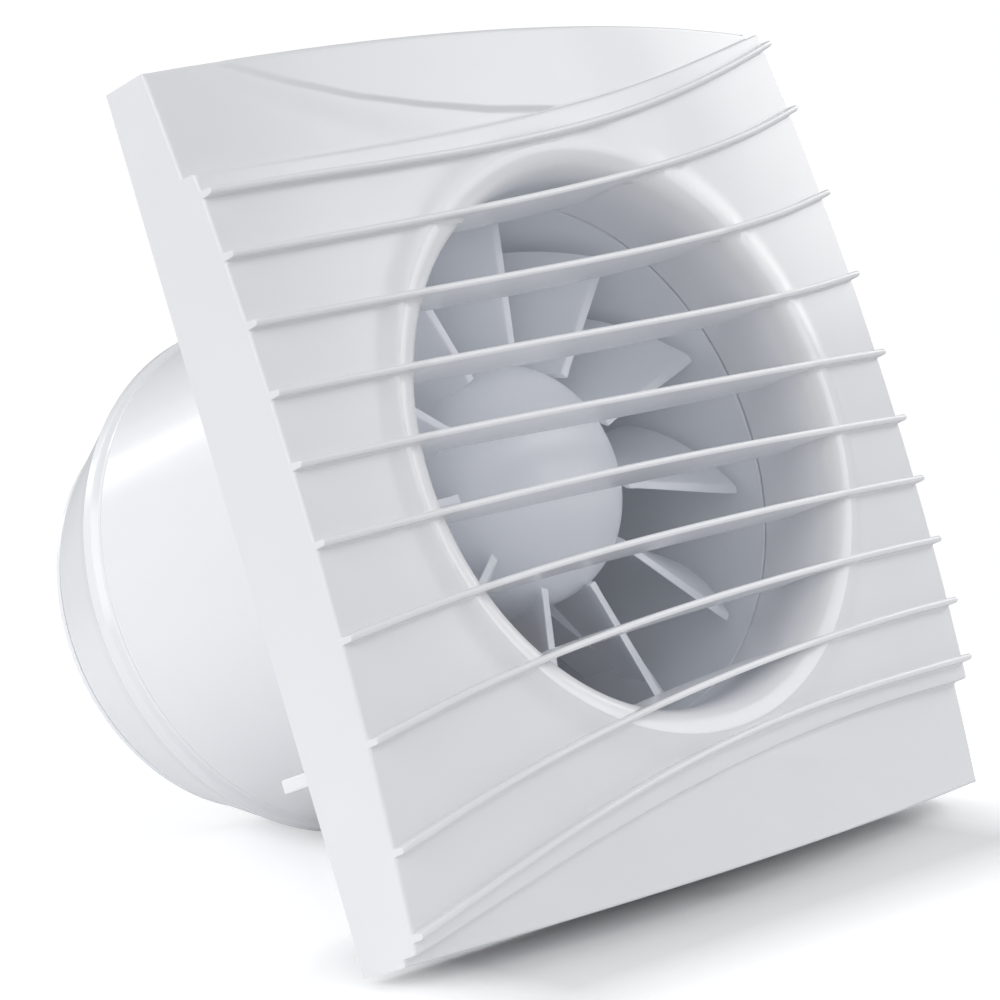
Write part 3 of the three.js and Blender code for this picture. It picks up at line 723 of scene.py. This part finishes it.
# ------------------------------------------------------------------ housing: flange, duct spigot, motor carrier
def build_housing():
    outline = rounded([(-FLANGE_HALF, -FLANGE_HALF), (FLANGE_HALF, -FLANGE_HALF), (FLANGE_HALF, FLANGE_HALF), (-FLANGE_HALF, FLANGE_HALF)], 1.2, 4)
    body = prism("flange", outline, -FLANGE_T, 0)
    duct = lathe("duct", rounded([(DUCT_RI, DUCT_FRONT), (DUCT_R + 0.2, DUCT_FRONT), (DUCT_R + 0.2, 0.0), (DUCT_R, 1.5), (DUCT_R, DUCT_REAR + 0.22), (DUCT_RI, DUCT_REAR + 0.22)], [0.3, 0.3, 0, 0, 0.05, 0.3], 3), 192)
    cut(body, rod_y("bore", 49, -5, 5, seg=192))
    extra = [duct]
    for x, z in TONGUES:
        extra.append(block("socket", x - 2.8, x + 2.8, -8, -FLANGE_T + 0.4, z - 5.9, z + 5.9, 0.35))
    extra.append(lathe("plate", rounded([(7.6, 31), (21, 31), (21, 33.4), (7.6, 33.4)], 0.35, 2), 96))
    for k in range(4):
        a = math.pi / 4 + k * math.pi / 2
        arm = block("arm", 19.4, 48.8, 31, 40, -1.3, 1.3, 0.3)
        arm.data.transform(Matrix.Rotation(a, 4, "Y"))
        extra.append(arm)
    for s in (-1, 1):
        extra.append(block("peg", s * 68.4 - 1.2, s * 68.4 + 1.2, -1, 12.6, s * 41.6 - 1.25, s * 41.6 + 1.25, 0.4, 3))
    join(body, *extra)
    holes = []
    for x, z in TONGUES:
        holes.append(block("slot", x - 1.25, x + 1.25, -9, -FLANGE_T, z - 4.35, z + 4.35))
    for s in (-1, 1):
        holes.append(rod_y("h", 1.9, 28, 36, s * 15, 0, 32))
    for sx in (-1, 1):
        for sz in (-1, 1):
            holes.append(rod_y("h", WALL_HOLE_R, -5, 5, sx * WALL_HOLE[0], sz * WALL_HOLE[1], 40))
    holes.append(rod_y("h", 4.6, -5, 5, 10, -64, 40))
    cut(body, *holes)
    return finish_mesh(body, sharp=36)


housing = piece(build_housing(), "fan_body", "body_white", "housing")
housing.name = "housing_shell"


# ------------------------------------------------------------------ end ring and shutter flaps
def build_end_ring():
    prof = rounded([
        (46.2, 60.5), (47.7, 60.5), (47.7, DUCT_REAR + 0.3), (DUCT_R, DUCT_REAR + 0.3), (DUCT_R + 0.1, DUCT_REAR + 1.0), (END_BEAD_R, DUCT_REAR + 2.2), (END_BEAD_R, 72.6), (50.0, 73.2),
        (END_RIM_R, END_REAR - 0.5), (END_RIM_R - 0.5, END_REAR), (END_RIM_R - 1.7, END_REAR), (END_RIM_R - 1.9, END_REAR - 1.2), (47.4, 74.4), (46.2, 72.4),
    ], [0.3, 0.3, 0, 0.12, 0.8, 1.4, 0.9, 0.8, 0.5, 0.4, 0.3, 0.3, 1.0, 1.0], 5)
    body = lathe("end", prof, 192)
    extra = [block("bar", -2.2, 2.2, 85, 91.4, -42.2, 42.2, 0.4)]
    for z0, z1 in ((-3, 3), (34.4, 38.4), (-38.4, -34.4)):
        extra += [block("lug", -1.9, 1.9, 90.5, PIN_Y, z0, z1, 0.0), rod_z("lug", 1.95, z0, z1, 0, PIN_Y, 40, 0.2)]
    join(body, *extra)
    cut(body, rod_z("bore", 1.1, -60, 60, 0, PIN_Y, 32))
    return finish_mesh(body, sharp=36)


end_ring = piece(build_end_ring(), "fan_body", "body_white", "end_ring")
end_ring.name = "end_ring_shell"


def build_flap(name, s, runs):
    """A thin half disc with eased corners and hinge knuckles."""
    a0 = math.acos(2.7 / FLAP_R)
    n = 72
    outline = [(s * FLAP_R * math.cos(-a0 + 2 * a0 * i / n), FLAP_R * math.sin(-a0 + 2 * a0 * i / n)) for i in range(n + 1)]
    b = prism(name, rounded(outline, [0.8] + [0] * (n - 1) + [0.8], 3), PIN_Y - FLAP_T / 2, PIN_Y + FLAP_T / 2)
    extra = []
    for z0, z1 in runs:
        extra += [block("k", min(s * 0.9, s * 3.2), max(s * 0.9, s * 3.2), PIN_Y - FLAP_T / 2, PIN_Y + FLAP_T / 2, z0, z1), rod_z("k", 1.9, z0, z1, 0, PIN_Y, 40, 0.2)]
    join(b, *extra)
    cut(b, rod_z("bore", 1.1, -60, 60, 0, PIN_Y, 32))
    return finish_mesh(b, sharp=36, bevel=0.16, segments=2, limit=60)


for nm, s, runs, body in (("flap_left", -1, ((5, 15), (-30, -20)), "flap_left"), ("flap_right", 1, ((20, 30), (-15, -5)), "flap_right")):
    fl = piece(build_flap(nm, s, runs), body, "body_white", nm)
    fl.name = "shutter_" + nm.split("_")[1]


# ------------------------------------------------------------------ impeller
def build_impeller():
    nose = spline([(1.9, HUB_NOSE + 0.03), (7, HUB_NOSE + 0.45), (12.5, HUB_NOSE + 1.9), (17, HUB_NOSE + 4.4), (20.2, HUB_NOSE + 7.6), (21.9, HUB_NOSE + 11.2), (HUB_R, HUB_NOSE + 15)], 6)
    prof = [(0, HUB_NOSE)] + nose + [(HUB_R, 25.7), (HUB_R - 0.3, 26), (HUB_R - 1.5, 26), (HUB_R - 1.8, 25.7), (HUB_R - 1.8, 12), (19, 5.5), (14, 1), (5.2, -1.6), (4.6, 1.5), (4.4, 18.7), (4.1, 19), (0, 19)]
    hub = spindle("hub", prof, 128)
    cut(hub, rod_y("bore", 1.66, 2.5, 30, seg=32))
    blades = []
    stn = np.array([0, 0.005, 0.014, 0.06, 0.18, 0.3, 0.42, 0.54, 0.66, 0.78, 0.88, 0.94, 0.975, 0.992, 1.0])
    thick = np.array([0.70, 0.90, 1.0, 1, 1, 1, 1, 1, 1, 1, 0.98, 0.94, 0.86, 0.70, 0.45])
    nc, nr = len(stn) - 1, 14
    for k in range(BLADES):
        def fn(u, v, w, k=k):
            f = (u + 1) / 2
            r = lerp(HUB_R - 1.0, BLADE_TIP_R, f)
            i = int(round((w + 1) / 2 * nc))
            s = float(stn[i])
            lead = lerp(2.5, -0.8, f)
            at = lambda q: math.radians(BLADE_SWEEP * (1 - (1 - min(max(q, 0), 1)) ** 1.6))
            y = lerp(lead, BLADE_REAR, s)
            a = math.radians(BLADE_START + 360 / BLADES * k) + at(s)
            q0, q1 = max(0, s - 0.02), min(1, s + 0.02)
            dy, dt = (q1 - q0) * (BLADE_REAR - lead), (at(q1) - at(q0)) * r
            ln = math.hypot(dy, dt)
            root = 1 + 0.16 * math.exp(-max(0.0, (r - HUB_R)) / 0.45)
            h = v * BLADE_T / 2 * float(thick[i]) * root * (1 if f < 0.995 else 0.8)
            b = float(smooth(1 - s / 0.06))  # the front edge is cut square to the axis
            aa = a - lerp(dy / ln, ln / dy, b) * h / r
            return (r * math.cos(aa), y + dt / ln * h * (1 - b), r * math.sin(aa))
        # stations crowd towards the root, where the fillet is
        def squeezed(u, v, w, fn=fn):
            t = (u + 1) / 2
            return fn(2 * t ** 1.7 - 1, v, w)
        blades.append(mapped(f"b{k}", nr, 1, nc, squeezed))
    join(hub, *blades)
    return finish_mesh(hub, sharp=40)


impeller = piece(build_impeller(), "rotating", "fan_grey", "impeller")
impeller.name = "impeller_moulding"


# ------------------------------------------------------------------ motor and mains connection
def refine(node_name, slot, body, bevel=0.15, segments=2, limit=35, sharp=32, name=None):
    """A new piece from the CAD solid, with welded faces and eased edges."""
    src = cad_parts[node_name]
    me = src.data.copy()
    ob = link(name or node_name + "_detail", me)
    for att in list(me.attributes):
        if att.name in ("custom_normal", "sharp_edge", "sharp_face"):
            me.attributes.remove(att)
    bm = bmesh.new()
    bm.from_mesh(me)
    bmesh.ops.remove_doubles(bm, verts=bm.verts, dist=1e-6)
    bmesh.ops.dissolve_limit(bm, angle_limit=math.radians(0.5), verts=bm.verts, edges=bm.edges)
    bm.to_mesh(me)
    bm.free()
    if bevel:
        m = ob.modifiers.new("ease", "BEVEL")
        m.width, m.segments, m.limit_method, m.angle_limit = bevel * MM, segments, "ANGLE", math.radians(limit)
        m.use_clamp_overlap = True
        bpy.context.view_layer.update()
        apply_mods(ob)
    even_shading(ob, sharp)
    return piece(ob, body, slot, node_name)


for nm, slot, body, bev in (
    ("stator", "lamination", "fan_body", 0.12), ("coil_bobbin", "bobbin_black", "fan_body", 0.25),
    ("bearing_bracket_front", "die_cast", "fan_body", 0.3), ("bearing_bracket_rear", "die_cast", "fan_body", 0.3),
    ("bush_front", "bronze", "fan_body", 0.2), ("bush_rear", "bronze", "fan_body", 0.2),
    ("motor_screw_1", "steel", "fan_body", 0.18), ("motor_screw_2", "steel", "fan_body", 0.18),
    ("terminal_block", "body_white", "fan_body", 0.3), ("terminal_screw_1", "bronze", "fan_body", 0.1),
    ("terminal_screw_2", "bronze", "fan_body", 0.1), ("terminal_screw_3", "bronze", "fan_body", 0.1),
    ("inlet_grommet", "rubber", "fan_body", 0.2),
    ("motor_shaft", "steel", "rotating", 0.25), ("rotor", "die_cast", "rotating", 0.2), ("flap_pin", "steel", "fan_body", 0.2),
):
    refine(nm, slot, body, bev)


def winding():
    """Enamelled wire wound in close turns round the bobbin: each layer of turns is a row of rounded ridges."""
    lo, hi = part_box("coil_winding")
    x0, x1 = lo.x / MM + 0.15, hi.x / MM - 0.15
    y0, y1, z0, z1 = lo.y / MM + 0.1, hi.y / MM - 0.1, lo.z / MM + 0.1, hi.z / MM - 0.1
    iy0, iy1, iz0, iz1 = 38.3, 55.7, -30.7, -19.3
    turns = 44
    per = 4
    n = turns * per
    xs = [lerp(x0, x1, i / n) for i in range(n + 1)]
    swell = [0.0 if i % per == 0 else (0.16 if i % per == per // 2 else 0.12) for i in range(n + 1)]

    def loop(h):
        pts = rounded([(y0 + 0.2 - h, z0 + 0.2 - h), (y1 - 0.2 + h, z0 + 0.2 - h), (y1 - 0.2 + h, z1 - 0.2 + h), (y0 + 0.2 - h, z1 - 0.2 + h)], 2.4, 5)
        return pts

    m = len(loop(0))
    inner = rounded([(iy0, iz0), (iy1, iz0), (iy1, iz1), (iy0, iz1)], 0.6, 5)
    v = []
    for x, h in zip(xs, swell):
        v += [(x, y, z) for y, z in loop(h)]
    base = len(v)
    v += [(xs[0], y, z) for y, z in inner] + [(xs[-1], y, z) for y, z in inner]
    f = [(i * m + j, (i + 1) * m + j, (i + 1) * m + (j + 1) % m, i * m + (j + 1) % m) for i in range(n) for j in range(m)]
    for j in range(m):
        k = (j + 1) % m
        f += [(j, k, base + k, base + j), (n * m + k, n * m + j, base + m + j, base + m + k), (base + j, base + k, base + m + k, base + m + j)]
    return finish_mesh(raw("winding", v, f), sharp=55)


coil = piece(winding(), "fan_body", "copper", "coil_winding")
coil.name = "coil_winding_turns"

# ------------------------------------------------------------------ floor, light and background
TILT = math.atan(0.354)
ORIGIN = Vector((0, 0, -0.07612))
FLOOR_N = Vector((0, -math.sin(TILT), math.cos(TILT)))
FLOOR_Y = Vector((0, math.cos(TILT), math.sin(TILT)))


def on_floor(x, y, h):
    """A point in metres beside, behind and above the foot of the fan, measured along the floor it stands on."""
    return ORIGIN + Vector((1, 0, 0)) * x + FLOOR_Y * y + FLOOR_N * h


def floor():
    n, rings = 96, [0.0, 0.08, 0.16, 0.24, 0.32]
    v, f = [(0.0, 0.03, 0.0)], []
    for r in rings[1:]:
        for i in range(n):
            a = 2 * math.pi * i / n
            v.append((r * math.cos(a), 0.03 + r * math.sin(a), 0.0))
    f += [(0, 1 + i, 1 + (i + 1) % n) for i in range(n)]
    for k in range(len(rings) - 2):
        a, b = 1 + k * n, 1 + (k + 1) * n
        f += [(a + i, b + i, b + (i + 1) % n, a + (i + 1) % n) for i in range(n)]
    me = bpy.data.meshes.new("floor")
    me.from_pydata(v, [], f)
    me.update()
    ob = link("floor", me)
    ob.matrix_world = Matrix([[1, 0, 0, 0], [0, FLOOR_Y.y, FLOOR_N.y, 0], [0, FLOOR_Y.z, FLOOR_N.z, ORIGIN.z], [0, 0, 0, 1]])
    m, nt, bs = new_mat("floor_white")
    bs.inputs["Base Color"].default_value = (0.86, 0.86, 0.865, 1)
    bs.inputs["Roughness"].default_value = 0.6
    bs.inputs["Emission Color"].default_value = (1, 1, 1, 1)
    geo = node(nt, "ShaderNodeNewGeometry")
    co = node(nt, "ShaderNodeTexCoord").outputs["Object"]

    def beyond(axis, centre, half):
        """How far a point lies outside a band across the floor."""
        sep = node(nt, "ShaderNodeSeparateXYZ")
        nt.links.new(co, sep.inputs[0])
        last = sep.outputs[axis]
        for op, value in (("SUBTRACT", centre), ("ABSOLUTE", 0.0), ("SUBTRACT", half), ("MAXIMUM", 0.0)):
            q = node(nt, "ShaderNodeMath", operation=op)
            nt.links.new(last, q.inputs[0])
            q.inputs[1].default_value = value
            last = q.outputs[0]
        return last

    # painted shadow: the floor glows softly for the camera everywhere but in the narrow gap below the front edge, so
    # the shade there stays dark
    pair = node(nt, "ShaderNodeCombineXYZ")
    nt.links.new(beyond("X", 0.0, 0.056), pair.inputs["X"])
    nt.links.new(beyond("Y", -0.012, 0.016), pair.inputs["Y"])
    past_painted_shadow = node(nt, "ShaderNodeVectorMath", operation="LENGTH")
    nt.links.new(pair.outputs[0], past_painted_shadow.inputs[0])
    seen_by = node(nt, "ShaderNodeLightPath")
    lift = node(nt, "ShaderNodeMath", operation="MULTIPLY")
    nt.links.new(ramp(nt, past_painted_shadow.outputs["Value"], 0.0, 0.022, 0.0, 0.36), lift.inputs[0])
    nt.links.new(seen_by.outputs["Is Camera Ray"], lift.inputs[1])
    nt.links.new(lift.outputs[0], bs.inputs["Emission Strength"])
    dist = node(nt, "ShaderNodeVectorMath", operation="DISTANCE")
    nt.links.new(co, dist.inputs[0])
    dist.inputs[1].default_value = (0.0, 0.03, 0.0)
    # it thins out into the white backdrop with distance, and is clear from below
    gone = node(nt, "ShaderNodeMath", operation="MAXIMUM")
    nt.links.new(ramp(nt, dist.outputs["Value"], 0.15, 0.31, 0, 1), gone.inputs[0])
    nt.links.new(geo.outputs["Backfacing"], gone.inputs[1])
    clear = node(nt, "ShaderNodeBsdfTransparent")
    both = node(nt, "ShaderNodeMixShader")
    nt.links.new(gone.outputs[0], both.inputs[0])
    nt.links.new(bs.outputs[0], both.inputs[1])
    nt.links.new(clear.outputs[0], both.inputs[2])
    nt.links.new(both.outputs[0], nt.nodes["Material Output"].inputs["Surface"])
    ob.data.materials.append(m)


floor()


def light(name, at, aim, size, power, colour=(1, 1, 1), size_y=None):
    d = bpy.data.lights.new(name, "AREA")
    d.shape = "RECTANGLE"
    d.size, d.size_y = size, size_y or size
    d.energy, d.color = power, colour
    o = bpy.data.objects.new(name, d)
    scene.collection.objects.link(o)
    o.location = at
    o.rotation_mode = "QUATERNION"
    o.rotation_quaternion = (Vector(at) - Vector(aim)).to_track_quat("Z", "Y")
    return o


AIM = Vector((0, 0.0, 0.0))
light("left", on_floor(-1.0, 0.25, 0.45), AIM, 0.8, 5.6, (1.0, 0.99, 0.98))
light("right", on_floor(0.95, 0.0, 0.50), AIM, 0.5, 1.85, (1.0, 0.99, 0.98))
light("fill", Vector((-0.80, -0.86, 0.16)), AIM, 0.9, 2.35, (0.99, 0.995, 1.0))
light("front", Vector((0.85, -0.95, 0.30)), AIM, 0.8, 5.7, (1.0, 0.99, 0.98))
light("back", Vector((-0.30, 0.75, 0.95)), AIM, 0.8, 0.9, (1.0, 0.99, 0.98))
light("strip", Vector((-0.228, 0.815, 0.64)), Vector((-0.043, 0.05, 0.025)), 0.13, 0.68, (1.0, 0.99, 0.98), 0.6)

world = bpy.data.worlds.new("studio")
scene.world = world
world.use_nodes = True
wt = world.node_tree
bg = wt.nodes["Background"]
bg.inputs["Color"].default_value = (0.96, 0.98, 1.0, 1)
bg.inputs["Strength"].default_value = 0.43
seen = wt.nodes.new("ShaderNodeBackground")
seen.inputs["Color"].default_value = (1, 1, 1, 1)
seen.inputs["Strength"].default_value = 1.02
path = wt.nodes.new("ShaderNodeLightPath")
mixw = wt.nodes.new("ShaderNodeMixShader")
wt.links.new(path.outputs["Is Camera Ray"], mixw.inputs[0])
wt.links.new(bg.outputs[0], mixw.inputs[1])
wt.links.new(seen.outputs[0], mixw.inputs[2])
wt.links.new(mixw.outputs[0], wt.nodes["World Output"].inputs["Surface"])

scene.view_settings.view_transform = "Standard"
scene.view_settings.look = "None"
